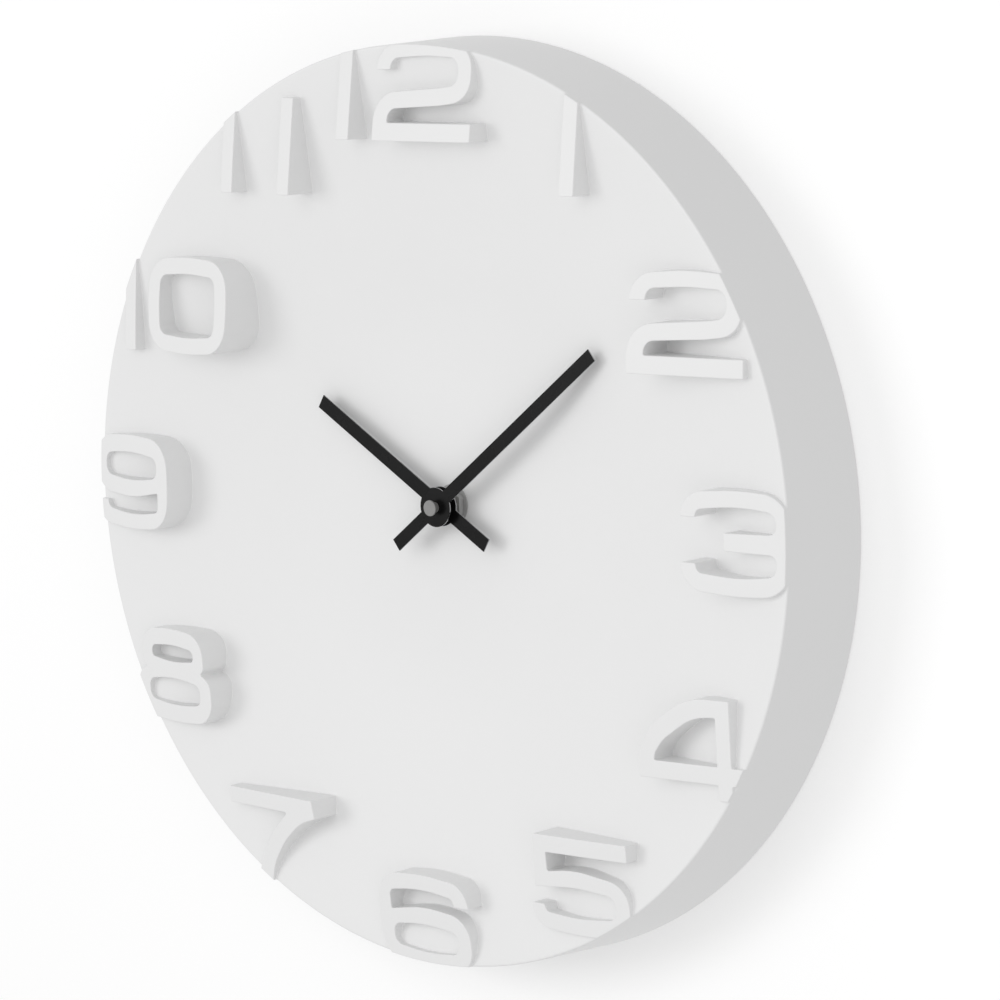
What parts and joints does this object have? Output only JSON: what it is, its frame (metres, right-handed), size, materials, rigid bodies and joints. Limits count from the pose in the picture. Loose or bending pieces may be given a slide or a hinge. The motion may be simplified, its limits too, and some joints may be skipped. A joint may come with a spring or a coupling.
{
  "type": "wall clock",
  "caption": "Round analogue wall clock: deep white dished dial with large raised numerals cut off by the rim, two flat black hands and a battery movement behind.",
  "frame": {"origin": "on the hands' arbor, in the plane of the wall that the back edge rests on", "axes": "+X to 3 o'clock, +Z to 12 o'clock, +Y into the wall; the dial faces -Y"},
  "size_m": [0.404, 0.0568, 0.404],
  "materials": {
    "shell_white": "satin",
    "hand_black": "satin",
    "steel_nut": "satin",
    "brass": "satin",
    "rubber_black": "matte",
    "case_black": "matte",
    "train_plastic": "matte",
    "magnet_iron": "matte",
    "motor_steel": "satin",
    "copper": "satin",
    "board_green": "satin",
    "chip_black": "gloss",
    "battery_can": "satin",
    "contact_steel": "satin"
  },
  "bodies": {
    "clock": {"dial_shell": "shell_white", "threaded_bushing": "brass", "bushing_nut": "steel_nut", "steel_washer": "steel_nut", "rubber_washer": "rubber_black", "movement_case": "case_black", "movement_cover": "case_black", "middle_plate": "train_plastic", "plate_screws": "steel_nut", "stator": "motor_steel", "coil_core": "motor_steel", "coil_bobbin": "train_plastic", "coil_winding": "copper", "circuit_board": "board_green", "circuit_chip": "chip_black", "quartz_crystal": "steel_nut", "battery": "battery_can", "contact_positive": "contact_steel", "contact_negative": "contact_steel"},
    "minute": {"minute_hand": "hand_black", "hand_cap_nut": "steel_nut", "minute_shaft": "brass"},
    "hour": {"hour_hand": "hand_black", "hour_wheel": "train_plastic"},
    "motion": {"motion_wheel": "train_plastic"},
    "setting": {"setting_knob": "case_black"},
    "seconds": {"seconds_wheel": "train_plastic"},
    "fifth": {"fifth_wheel": "train_plastic"},
    "rotor": {"rotor_pinion": "train_plastic", "rotor_magnet": "magnet_iron"},
    "third": {"third_wheel": "train_plastic"},
    "centre": {"centre_wheel": "train_plastic"}
  },
  "joints": [
    {"name": "minute_turn", "type": "hinge", "parent": "clock", "child": "minute", "pos_m": [0, 0, 0], "axis": [0, 1, 0], "continuous": true},
    {"name": "hour_turn", "type": "hinge", "parent": "clock", "child": "hour", "pos_m": [0, 0, 0], "axis": [0, 1, 0], "continuous": true},
    {"name": "motion_turn", "type": "hinge", "parent": "clock", "child": "motion", "pos_m": [0.0048, 0, -0.00831], "axis": [0, 1, 0], "continuous": true},
    {"name": "setting_turn", "type": "hinge", "parent": "clock", "child": "setting", "pos_m": [0.0148, 0, -0.00831], "axis": [0, 1, 0], "continuous": true},
    {"name": "rotor_turn", "type": "hinge", "parent": "clock", "child": "rotor", "pos_m": [-0.01742, 0, -0.00349], "axis": [0, 1, 0], "continuous": true},
    {"name": "fifth_turn", "type": "hinge", "parent": "clock", "child": "fifth", "pos_m": [-0.00958, 0, -0.00349], "axis": [0, 1, 0], "continuous": true},
    {"name": "seconds_turn", "type": "hinge", "parent": "clock", "child": "seconds", "pos_m": [0, 0, 0], "axis": [0, 1, 0], "continuous": true},
    {"name": "third_turn", "type": "hinge", "parent": "clock", "child": "third", "pos_m": [0, 0, 0.0102], "axis": [0, 1, 0], "continuous": true},
    {"name": "centre_turn", "type": "hinge", "parent": "clock", "child": "centre", "pos_m": [0, 0, 0], "axis": [0, 1, 0], "continuous": true}
  ],
  "couplings": [
    {"joint": "hour_turn", "follows": "minute_turn", "ratio": 0.083333},
    {"joint": "motion_turn", "follows": "minute_turn", "ratio": -0.33333},
    {"joint": "setting_turn", "follows": "minute_turn", "ratio": 0.85714},
    {"joint": "fifth_turn", "follows": "rotor_turn", "ratio": -0.16667},
    {"joint": "seconds_turn", "follows": "rotor_turn", "ratio": 0.033333},
    {"joint": "third_turn", "follows": "rotor_turn", "ratio": -0.0044444},
    {"joint": "centre_turn", "follows": "rotor_turn", "ratio": 0.00055556}
  ]
}
